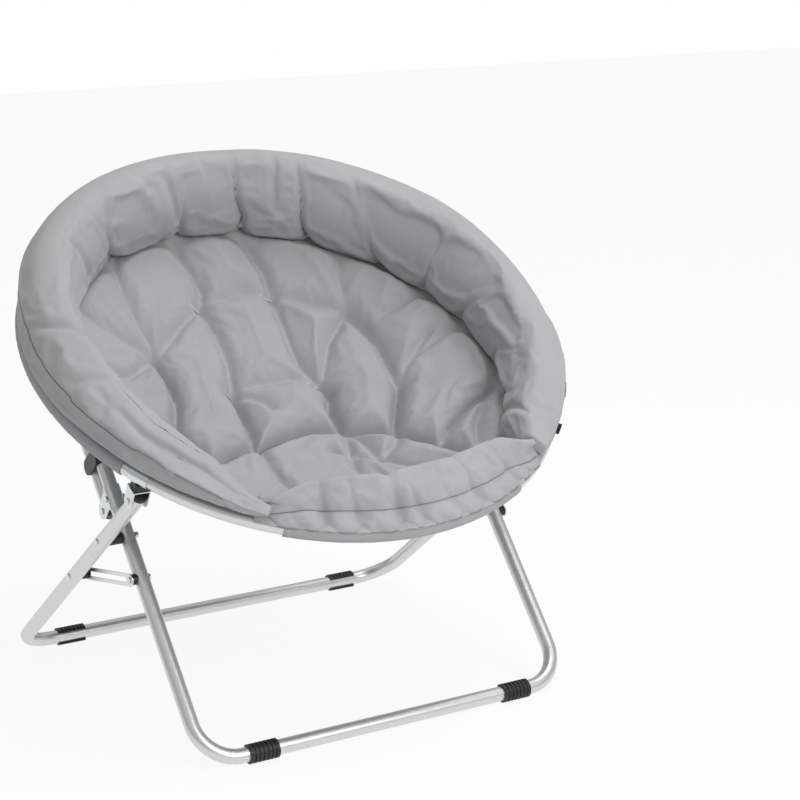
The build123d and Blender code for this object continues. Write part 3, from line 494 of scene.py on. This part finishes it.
def makeRoll():
    angles = np.linspace(roll["start"], roll["end"], roll["rows"])
    sections = np.stack([rollSection(angle) for angle in angles])
    rows, around = sections.shape[:2]
    shown = roll["visible"]
    normal = outwards(sections)
    flat = unrolled(angles, roll["around"], roll["down"], shown)
    lines = rollLines()
    depth = lineDepth(flat, lines).reshape(rows, shown)
    place = np.linspace(0, 1, shown)
    full = np.sin(np.pi * np.clip(place / roll["liftTo"], 0, 1)) * roll["lift"]
    slim = ease(roll["tipFrom"] - roll["tipEarly"], roll["tipTo"], np.minimum(angles, 360 - angles))
    sections[:, :shown] += normal[:, :shown] * ((full - depth) * slim[:, None])[..., None]
    outside = np.clip((sections[..., 0] - roll["outFrom"]) / roll["outRun"], 0, 1)
    outside = outside * (sections[..., 1] > roll["outAbove"])
    sections[..., 0] += readTable(rollLean, angles, 1)[:, None] * outside
    high = np.clip((sections[..., 1] - roll["upFrom"]) / roll["upRun"], 0, 1)
    sections[..., 1] += readTable(rollLean, angles, 2)[:, None] * high
    seams = np.array([readTable(rollOutline, min(a, 360 - a), 3) for a in angles])
    first = roll["seamFrom"]
    seamRow = np.argmin(np.abs(sections[:, first:shown, 1] - seams[:, None]), axis=1) + first
    spots = toFrame(hoopSpots(angles[:, None], sections[..., 0], sections[..., 1]))
    piece = makePiece("paddedRoll", spots, tubeFaces(rows, around), finish=grey)
    held = np.zeros((rows, around), bool)
    held[:, 0] = held[:, shown - 1:] = True
    held[np.arange(rows), seamRow] = True
    held[:3] = held[-3:] = True
    held[:, :shown] |= depth > roll["pinned"]
    puffUp(piece, held.ravel(), roll["pressure"], roll["spare"], roll["cap"])
    lay = np.full((rows, around, 3), -9999.0)  # the hidden side lies far from every crease
    lay[:, :shown, :2] = flat.reshape(rows, shown, 2)
    layOf = piece.data.attributes.new("lay", "FLOAT_VECTOR", "POINT")
    layOf.data.foreach_set("vector", lay.ravel())
    soften(piece)
    sharpen(piece, lines)
    sewRoll(piece, angles, around, seamRow)
    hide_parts("bolster")


makeRoll()
print("roll made")

# The tufted pad in the bucket. Places on it are across and back, in mm.
pad = {"edge": 364, "rings": 68, "crownEdge": 368, "crownDrop": 12, "crownCentre": 146,
       "lift": 30, "valley": 25, "crease": 6.5, "deeper": 5, "strongFrom": 9, "pressure": 5,
       "spare": 0.012, "cap": 7, "pinned": 5, "hidden": 346, "flatBefore": 6, "fullBefore": 26,
       "underEdge": 368.5, "underDrop": 14, "underCentre": 182, "underGap": 1.5, "thin": 6,
       "tuftWide": 11, "tuftDeep": 20, "fill": 0.6}
padTufts = [(-31, 236), (99, 233), (202, 166), (-147, 142), (-37, 73), (112, 56), (218, -4),
            (-147, -90), (-55, -53), (99, -49), (166, -94), (106, -151)]
# Folds between the tufts: strength of the valley, depth of the crease, then across and back.
padFolds = [
    (0.8, 7, (-50, 340), (-24, 292), (-19, 262), (-31, 236)),
    (0.8, 7, (70, 336), (84, 312), (97, 277), (99, 233)),
    (0.6, 4, (-31, 236), (-78, 203), (-147, 142)),
    (0.8, 6, (-31, 236), (-20, 191), (-20, 134), (-37, 73)),
    (0.4, 2, (-31, 236), (40, 243), (99, 233)),
    (0.6, 4, (99, 233), (153, 200), (202, 166)),
    (0.85, 7, (99, 233), (100, 177), (97, 108), (112, 56)),
    (0.9, 10, (202, 166), (216, 133), (225, 91), (222, 40), (218, -4)),
    (1, 15, (218, -4), (191, -47), (166, -94)),
    (1, 15, (112, 56), (122, 42), (107, 12), (99, -49)),
    (1, 13, (-37, 73), (-37, 35), (-42, -8), (-55, -53)),
    (1, 12, (-147, 142), (-137, 96), (-145, 52), (-177, -10), (-158, -60), (-147, -90)),
    (1, 17, (-147, -90), (-100, -62), (-55, -53), (-6, -38), (41, -30), (99, -49),
     (139, -74), (166, -94), (198, -160), (212, -206), (230, -250)),
    (0.7, 7, (106, -151), (109, -100), (99, -49)),
    (0.6, 7, (106, -151), (70, -120), (50, -100)),
    (0.6, 6, (106, -151), (145, -125), (160, -105)),
    (0.9, 11, (320, -108), (277, -111), (235, -133), (198, -163)),
    (0.7, 8, (300, -115), (258, -162), (231, -210)),
    (0.5, 6, (218, -4), (242, 27), (289, 58)),
    (0.4, 3, (202, 166), (206, 210), (224, 277)),
    (0.6, 6, (202, 166), (155, 127), (112, 56)),
    (0.5, 6, (-37, 73), (0, 45), (8, 28)),
    (0.5, 3, (112, 56), (63, 78), (4, 78), (-37, 73)),
    (0.4, 4, (333, 33), (307, 43), (250, 30)),
    (0.4, 4, (324, 119), (305, 132), (246, 131)),
    (0.5, 6, (-147, 142), (-200, 165), (-290, 205)),
    (0.5, 6, (-147, 142), (-160, 220), (-170, 290)),
    (0.5, 6, (-147, 142), (-215, 90), (-320, 60)),
    (0.6, 8, (-147, -90), (-200, -140), (-270, -210)),
    (0.6, 7, (-55, -53), (-70, -150), (-80, -300)),
    (0.6, 7, (99, -49), (60, -150), (30, -300)),
    (0.6, 7, (106, -151), (150, -230), (170, -290)),
    (0.5, 6, (-177, -10), (-240, -20), (-335, -40))]


def padDisc():
    # A round grid of triangles: spots, which ring each is on, faces, and where each ring starts.
    rings = pad["rings"]
    spots, ringOf, starts = [(0, 0)], [0], [0, 1]
    for ring in range(1, rings + 1):
        for k in range(6 * ring):
            angle = math.radians(360 * k / (6 * ring))
            out = pad["edge"] * ring / rings
            spots.append((-out * math.sin(angle), -out * math.cos(angle)))
            ringOf.append(ring)
        starts.append(starts[-1] + 6 * ring)
    faces = []
    for ring in range(rings):
        inner, outer = max(6 * ring, 1), 6 * (ring + 1)
        for side in range(6):
            for k in range(ring + 1):
                a = starts[ring] + (side * ring + k) % inner
                b = starts[ring + 1] + (side * (ring + 1) + k) % outer
                c = starts[ring + 1] + (side * (ring + 1) + k + 1) % outer
                faces.append((a, b, c))
                if k < ring:
                    faces.append((a, c, starts[ring] + (side * ring + k + 1) % inner))
    return np.array(spots), np.array(ringOf), faces, starts


def makePad():
    rings = pad["rings"]
    spots, ringOf, faces, starts = padDisc()
    out = np.linalg.norm(spots, axis=1)
    crown = bowlHeight(out, pad["crownEdge"], pad["crownDrop"], pad["crownCentre"])
    creases = lineDepth(spots, [(pad["crease"], *[(x, y, deep + pad["deeper"]
                                                   + max(deep - pad["strongFrom"], 0))
                                                  for x, y in path])
                                for firm, deep, *path in padFolds])
    valleys = lineDepth(spots, [(pad["valley"], *[(x, y, firm) for x, y in path])
                                for firm, deep, *path in padFolds])
    tufts = lineDepth(spots, [(pad["tuftWide"], (x, y, pad["tuftDeep"]),
                               (x + 1, y, pad["tuftDeep"])) for x, y in padTufts])
    deep = np.maximum(creases, tufts)
    room = ease(pad["hidden"] + pad["flatBefore"], pad["hidden"] - pad["fullBefore"], out)
    height = crown + (pad["lift"] * (1 - valleys) - deep) * room
    piece = makePiece("tuftedPad", toFrame(np.column_stack((spots, height))), faces, finish=grey)
    held = (ringOf == rings) | (deep > pad["pinned"]) | (out > pad["hidden"])
    puffUp(piece, held, pad["pressure"], pad["spare"], pad["cap"])

    # The underside comes only now, so that only the top has swelled.
    base = bowlHeight(out, pad["underEdge"], pad["underDrop"], pad["underCentre"]) + pad["underGap"]
    bottom = np.column_stack((spots * 0.999, np.minimum(base, height - pad["thin"])))
    count, rim, rimCount = len(spots), starts[rings], 6 * rings
    allFaces = faces + [tuple(k + count for k in reversed(face)) for face in faces]
    for k in range(rimCount):
        nxt = (k + 1) % rimCount
        allFaces.append((rim + nxt, rim + k, rim + k + count, rim + nxt + count))
    shaped = np.array([v.co for v in piece.data.vertices])
    swelled = piece.data
    mesh = bpy.data.meshes.new("tuftedPad")
    mesh.from_pydata([tuple(v) for v in np.vstack((shaped, toFrame(bottom)))], [], allFaces)
    mesh.polygons.foreach_set("use_smooth", [True] * len(mesh.polygons))
    mesh.materials.append(grey)
    piece.data = mesh
    bpy.data.meshes.remove(swelled)
    soften(piece)
    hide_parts("seat_cushion")
    return piece


thePad = makePad()
print("pad made")

# The puckered lip over the front.
lip = {"from": -38, "to": 34.5, "rows": 116, "visible": 36, "hidden": 6, "inner": 344, "low": -16,
       "endIn": 45, "endUp": 34, "endOut": 26, "lift": 5, "groove": 1.6, "grooveWide": 0.02,
       "pressure": 5, "spare": 0.04, "cap": 6, "around": 400, "down": 120, "stitch": 0.76,
       "puckerDown": 165, "pinned": 6, "pinnedFrom": 0.9, "fill": 0.6}
# Puckers drawn in by the lip's stitching: hoop angle and depth there, and how far they reach up.
lipPuckers = [(31, 11, 0.3), (24, 5, 0.55), (19.4, 14, 0.26), (12.3, 12, 0.3), (8.5, 5, 0.55),
              (2.8, 17, 0.2), (-2, 12, 0.34), (-6.5, 5, 0.56), (-11, 8, 0.44), (-17.2, 13, 0.28),
              (-24, 6, 0.5), (-29, 10, 0.36), (-34, 6, 0.5)]
# Hoop angle, height of the lip's crest, and how far out it is.
lipCrest = [(-38, 42, 372), (-30, 52, 356), (-15, 57, 351), (0, 59, 353), (15, 58, 357),
            (25, 51, 364), (34.5, 38, 378)]
lipThreads = {"proud": 0.0003, "top": 0.0008, "low": 0.001}


def lipSection(angle):
    # One cut through the lip as (out, up), from the pad over the crest and back underneath.
    end = lip["to"] if angle > 0 else -lip["from"]
    slim = float(ease(end + 0.5, end - 12, abs(angle)))  # 0 at the lip's ends
    inner, low = lip["inner"] + (1 - slim) * lip["endIn"], lip["low"] + (1 - slim) * lip["endUp"]
    top, crest = readTable(lipCrest, angle, 1), readTable(lipCrest, angle, 2)
    crest += lip["endOut"] * (1 - slim)
    tall = top - low
    shown = spline([(inner, low), (inner - 7 * slim, low + 0.3 * tall),
                    (inner - 5 * slim, low + 0.62 * tall), (crest - 8 * slim, low + 0.93 * tall),
                    (crest, top), (crest + 0.5 * (393 - crest), top - 0.3 * (top - 27)),
                    (391, 30), (395, 26.5), (406, 21), (413.5, 14), (416.5, 5)], lip["visible"])
    under = spline([(416.5, 5), (405, 13.2), (392, 2.5), (inner, low)], lip["hidden"] + 2)
    return np.vstack((shown, under[1:-1]))


def lipLines():
    stitch = lip["stitch"]
    lines = []
    for at, deep, reach in lipPuckers:
        spots = [(at - 0.6, 0.9, 0), (at, stitch + 0.03, deep * 0.22),
                 (at + 0.3, stitch - 0.06, deep * 0.8), (at + 1.2, (stitch * 2 + reach) / 3, deep),
                 (at + 4.5, reach, 0)]
        lines.append((4 + deep / 3, *[(math.radians(a) * lip["around"], place * lip["puckerDown"], d)
                                      for a, place, d in spots]))
    return lines


def makeLip():
    angles = np.linspace(lip["from"], lip["to"], lip["rows"])
    sections = np.stack([lipSection(angle) for angle in angles])
    rows, around = sections.shape[:2]
    shown = lip["visible"]
    normal = outwards(sections)
    flat = unrolled(angles, lip["around"], lip["down"], shown)
    depth = lineDepth(flat, lipLines()).reshape(rows, shown)
    place = np.linspace(0, 1, shown)
    full = lip["lift"] * np.sin(np.pi * np.clip(place / lip["stitch"], 0, 1))
    full -= lip["groove"] * np.exp(-((place - lip["stitch"]) / lip["grooveWide"]) ** 2)
    sections[:, :shown] += normal[:, :shown] * (full - depth)[..., None]
    spots = toFrame(hoopSpots(angles[:, None] % 360, sections[..., 0], sections[..., 1]))
    piece = makePiece("frontLip", spots, tubeFaces(rows, around), finish=grey)
    stitchRow = int(lip["stitch"] * shown)
    held = np.zeros((rows, around), bool)
    held[:, 0] = held[:, shown - 1:] = True
    held[:2] = held[-2:] = True
    held[:, stitchRow] = True
    held[:, :shown] |= (depth > lip["pinned"]) | (place > lip["pinnedFrom"])[None]
    puffUp(piece, held.ravel(), lip["pressure"], lip["spare"], lip["cap"])
    soften(piece)
    for name, row, radius in (("lipTopStitch", stitchRow, lipThreads["top"]),
                              ("lipLowSeam", shown - 2, lipThreads["low"])):
        line = [np.array(piece.data.vertices[k * around + row].co)
                + lipThreads["proud"] * (upWay + hoopOut(angles[k])) for k in range(2, rows - 2)]
        threadLine(name, line, radius, threadGrey)
    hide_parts("front_lip")


makeLip()
print("lip made")

# Sleeves on the hoop: hoop angles where each starts and ends, and a hem at both ends.
sleeve = {"radius": 12.7, "wall": 1.0, "lining": 0.3, "around": 28, "step": 0.9, "hem": 0.45,
          "hemRoom": 1.1, "hemEdge": 0.12, "hemStep": 0.1, "plainFrom": 1.6, "ripple": 0.16,
          "cutRadius": 0.0129,
          "spans": {"front": (-28.1, 28.1), "left": (62.0, 128.5), "back": (133.7, 226.3),
                    "right": (231.5, 298.0)}}


def makeSleeve(place, start, end):
    room, edge, plain = sleeve["hemRoom"], sleeve["hemEdge"], sleeve["plainFrom"]
    count = int((end - start) / sleeve["step"])
    angles = np.concatenate(([start, start, start + edge, start + room,
                              start + room + sleeve["hemStep"]],
                             np.linspace(start + plain, end - plain, count),
                             [end - room - sleeve["hemStep"], end - room, end - edge, end, end]))
    rings, around = len(angles), sleeve["around"]
    thick = np.full(rings, sleeve["radius"])
    thick[1:4] = thick[-4:-1] = sleeve["radius"] + sleeve["hem"]
    thick[0] = thick[-1] = sleeve["radius"] - sleeve["wall"]
    turn = np.linspace(0, 2 * np.pi, around, endpoint=False)
    dice = np.random.default_rng(len(place))
    waves = dice.uniform(0, 6.28, 4)
    ripple = (np.sin(angles * 1.9 + waves[0])[:, None] * np.sin(2 * turn + waves[1])
              + np.sin(angles * 0.8 + waves[2])[:, None] * np.sin(3 * turn + waves[3]))
    out = thick[:, None] + sleeve["ripple"] * ripple
    lining = thick[0] - sleeve["lining"]
    outer = hoopSpots(angles[:, None] % 360, hoop["radius"] + out * np.cos(turn), out * np.sin(turn))
    inner = hoopSpots(angles[:, None] % 360, hoop["radius"] + lining * np.cos(turn),
                      lining * np.sin(turn))
    faces = tubeFaces(rings, around, closedEnds=False)
    total, last = rings * around, (rings - 1) * around
    faces += [tuple(k + total for k in reversed(face)) for face in faces]
    for k in range(around):
        nxt = (k + 1) % around
        faces.append((nxt, k, k + total, nxt + total))
        faces.append((last + k, last + nxt, last + nxt + total, last + k + total))
    piece = makePiece("sleeve" + place.capitalize(), toFrame(np.concatenate((outer, inner))),
                      faces, finish=canvasGrey)
    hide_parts("hoop_sleeve_" + place)


for place, (start, end) in sleeve["spans"].items():
    makeSleeve(place, start, end)
print("sleeves made")

# The canvas sling under the pad, which carries the load.
sling = {"rim": 391, "drop": 5, "depth": 184, "thick": 2, "rings": 46, "around": 144,
         "middle": 0.02, "firstRing": 0.06, "pulls": 18, "pull": 1.6, "cut": (0.86, 0.86),
         "area": 0.58}


def makeSling():
    outs = np.concatenate(([sling["middle"]], np.linspace(sling["firstRing"], 1, sling["rings"])))
    rings, around = len(outs), sling["around"]
    turn = np.linspace(0, 2 * np.pi, around, endpoint=False)
    reach = outs * sling["rim"]
    drop = bowlHeight(reach, sling["rim"], sling["drop"], sling["depth"])
    pull = (sling["pull"] * np.sin(sling["pulls"] * turn)[None] * ease(0.72, 1, outs)[:, None]
            * ease(1.0, 0.93, outs)[:, None])  # small waves just inside the rim
    under = np.stack((-reach[:, None] * np.sin(turn), -reach[:, None] * np.cos(turn),
                      drop[:, None] + pull), -1)
    top = under.copy()
    top[..., :2] *= 1 - sling["thick"] / 600
    top[..., 2] += sling["thick"] * 0.8
    faces = [tuple(reversed(face)) for face in tubeFaces(rings, around, closedEnds=False)]
    total, last = rings * around, (rings - 1) * around
    faces += [tuple(k + total for k in reversed(face)) for face in faces]
    faces.append(tuple(range(around)))
    faces.append(tuple(k + total for k in range(around - 1, -1, -1)))
    for k in range(around):
        nxt = (k + 1) % around
        faces.append((last + nxt, last + k, last + k + total, last + nxt + total))
    piece = makePiece("sling", toFrame(np.concatenate((under, top))), faces, finish=canvasGrey)
    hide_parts("seat_sling")
    return piece


theSling = makeSling()
print("sling made")

# Pale thread that shows at four tufts: its middle, and its length along the row.
paleStitches = [((-40, 238), 22), ((88, 236), 26), ((-44, 78), 14), ((98, 62), 24)]
paleThread = {"radius": 0.0011, "proud": 0.0012, "sag": 0.0006, "above": 60}


def sewPad():
    thePad.data.update()
    tree = BVHTree.FromPolygons([v.co for v in thePad.data.vertices],
                                [tuple(face.vertices) for face in thePad.data.polygons])
    for k, ((x, y), long) in enumerate(paleStitches):
        ends = []
        for step in (-0.5, 0.5):
            start = Vector(toFrame([[x + step * long, y, paleThread["above"]]])[0])
            hit = tree.ray_cast(start, Vector(-upWay))[0]
            ends.append(np.array(hit) + upWay * paleThread["proud"])
        line = [ends[0] + (ends[1] - ends[0]) * step
                - paleThread["sag"] * math.sin(step * math.pi) * upWay
                for step in np.linspace(0, 1, 9)]
        threadLine(f"paleStitch{k}", line, paleThread["radius"], stitchPale)


sewPad()

# Blank tag: a loop of webbing that stands out from the roll near its right end.
tag = {"angle": 311, "inner": 410, "outer": 422.5, "high": 31, "low": 9, "thick": 0.9,
       "steps": 7, "bend": 0.25}


def makeTag():
    steps = np.linspace(0, 1, tag["steps"])
    outs = tag["inner"] + (tag["outer"] - tag["inner"]) * np.sin(steps * math.pi / 2)
    half = math.degrees(tag["thick"] / 2 / tag["outer"])
    loops = []
    for out, step in zip(outs, steps):
        bend = tag["bend"] * math.sin(step * math.pi)
        loops.append(np.concatenate([hoopSpots(tag["angle"] + bend + side * half, out,
                                               np.array(ups, float))
                                     for side, ups in ((1, (tag["high"], tag["low"])),
                                                       (-1, (tag["low"], tag["high"])))]))
    piece = makePiece("tag", toFrame(np.stack(loops)), tubeFaces(len(outs), 4),
                      finish=finishes["tag_black"])
    soften(piece)
    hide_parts("blank_tag")


makeTag()
print("stitches and tag made")

# The pad and the sling each get a mesh of their own.
hoopMiddle = tuple(toFrame([[0, 0, 0]])[0])
for piece in (thePad, theSling):
    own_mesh(piece)

# The camera, where the photograph was taken; angles in degrees.
view = {"spot": (-1.5193, -2.78255, 1.2123), "azimuth": 31.57, "down": 13.78, "roll": -0.29,
        "lens": 96.16, "sensor": 36}


def placeCamera():
    azimuth, down, tilt = (math.radians(view[k]) for k in ("azimuth", "down", "roll"))
    ahead = Vector((math.sin(azimuth) * math.cos(down), math.cos(azimuth) * math.cos(down),
                    -math.sin(down)))
    level = ahead.cross(Vector((0, 0, 1))).normalized()
    above = level.cross(ahead)
    right = level * math.cos(tilt) + above * math.sin(tilt)
    top = above * math.cos(tilt) - level * math.sin(tilt)
    lens = bpy.data.cameras.new("camera")
    lens.lens, lens.sensor_width = view["lens"], view["sensor"]
    camera = bpy.data.objects.new("camera", lens)
    bpy.context.collection.objects.link(camera)
    turned = Matrix((right, top, -ahead)).transposed().to_4x4()
    camera.matrix_world = Matrix.Translation(view["spot"]) @ turned
    bpy.context.scene.camera = camera


placeCamera()
bpy.context.scene.view_settings.view_transform = "Standard"

# Studio: soft light from all round, a little dimmer from below, and a white backdrop.
studio = {"strength": 0.68, "below": (0.5, 0.5, 0.51, 1), "above": (1, 1, 1, 1),
          "from": 0.05, "to": 0.8}
floorSheet = {"reach": 9, "height": -0.0004, "tone": (0.88, 0.88, 0.88), "rough": 0.7, "white": 0.9}
# name, watts, size, place, aim
lamps = [("softFront", 43, 1.3, (0.5, -3.1, 1.9), (0, 0, 0.45)),
         ("softTop", 26, 1.4, (0.7, -0.4, 3.0), (0, 0, 0.45))]


def lightStudio():
    world = bpy.data.worlds.new("studio")
    bpy.context.scene.world = world
    world.use_nodes = True
    tree = world.node_tree
    link = tree.links.new
    sky = tree.nodes["Background"]
    sky.inputs["Strength"].default_value = studio["strength"]
    coords = addNode(tree, "ShaderNodeTexCoord")
    split = addNode(tree, "ShaderNodeSeparateXYZ")
    ramp = addNode(tree, "ShaderNodeValToRGB")
    low, high = ramp.color_ramp.elements
    low.color, high.color = studio["below"], studio["above"]
    low.position, high.position = studio["from"], studio["to"]
    link(coords.outputs["Generated"], split.inputs[0])
    link(split.outputs["Z"], ramp.inputs["Fac"])
    link(ramp.outputs[0], sky.inputs["Color"])
    seen = addNode(tree, "ShaderNodeLightPath")
    blank = addNode(tree, "ShaderNodeBackground")
    blank.inputs["Color"].default_value = (1, 1, 1, 1)
    blank.inputs["Strength"].default_value = 1
    mix = addNode(tree, "ShaderNodeMixShader")
    link(seen.outputs["Is Camera Ray"], mix.inputs["Fac"])
    link(sky.outputs[0], mix.inputs[1])
    link(blank.outputs[0], mix.inputs[2])
    link(mix.outputs[0], tree.nodes["World Output"].inputs["Surface"])


def layFloor():
    mesh = bpy.data.meshes.new("floor")
    reach, height = floorSheet["reach"], floorSheet["height"]
    mesh.from_pydata([(-reach, -reach, height), (reach, -reach, height), (reach, reach, height),
                      (-reach, reach, height)], [], [(0, 1, 2, 3)])
    floor = bpy.data.objects.new("floor", mesh)
    bpy.context.collection.objects.link(floor)
    white, tree, shader = newFinish("floorWhite", floorSheet["tone"], floorSheet["rough"])
    link = tree.links.new
    # Seen by the camera, in gloss or through glass, the floor is mostly plain white.
    seen = addNode(tree, "ShaderNodeLightPath")
    twoRays = addNode(tree, "ShaderNodeMath", operation="ADD")
    threeRays = addNode(tree, "ShaderNodeMath", operation="ADD")
    share = addNode(tree, "ShaderNodeMath", operation="MULTIPLY")
    share.inputs[1].default_value = floorSheet["white"]
    glow = addNode(tree, "ShaderNodeEmission")
    glow.inputs["Color"].default_value = (1, 1, 1, 1)
    glow.inputs["Strength"].default_value = 1
    mix = addNode(tree, "ShaderNodeMixShader")
    link(seen.outputs["Is Camera Ray"], twoRays.inputs[0])
    link(seen.outputs["Is Glossy Ray"], twoRays.inputs[1])
    link(twoRays.outputs[0], threeRays.inputs[0])
    link(seen.outputs["Is Transmission Ray"], threeRays.inputs[1])
    link(threeRays.outputs[0], share.inputs[0])
    link(share.outputs[0], mix.inputs["Fac"])
    link(shader.outputs[0], mix.inputs[1])
    link(glow.outputs[0], mix.inputs[2])
    link(mix.outputs[0], tree.nodes["Material Output"].inputs["Surface"])
    mesh.materials.append(white)


lightStudio()
layFloor()
for name, power, size, place, aim in lamps:
    light = bpy.data.lights.new(name, "AREA")
    light.energy, light.size = power, size
    lamp = bpy.data.objects.new(name, light)
    lamp.location = place
    lamp.rotation_euler = (Vector(aim) - Vector(place)).to_track_quat("-Z", "Y").to_euler()
    bpy.context.collection.objects.link(lamp)
print("camera, floor and light made")
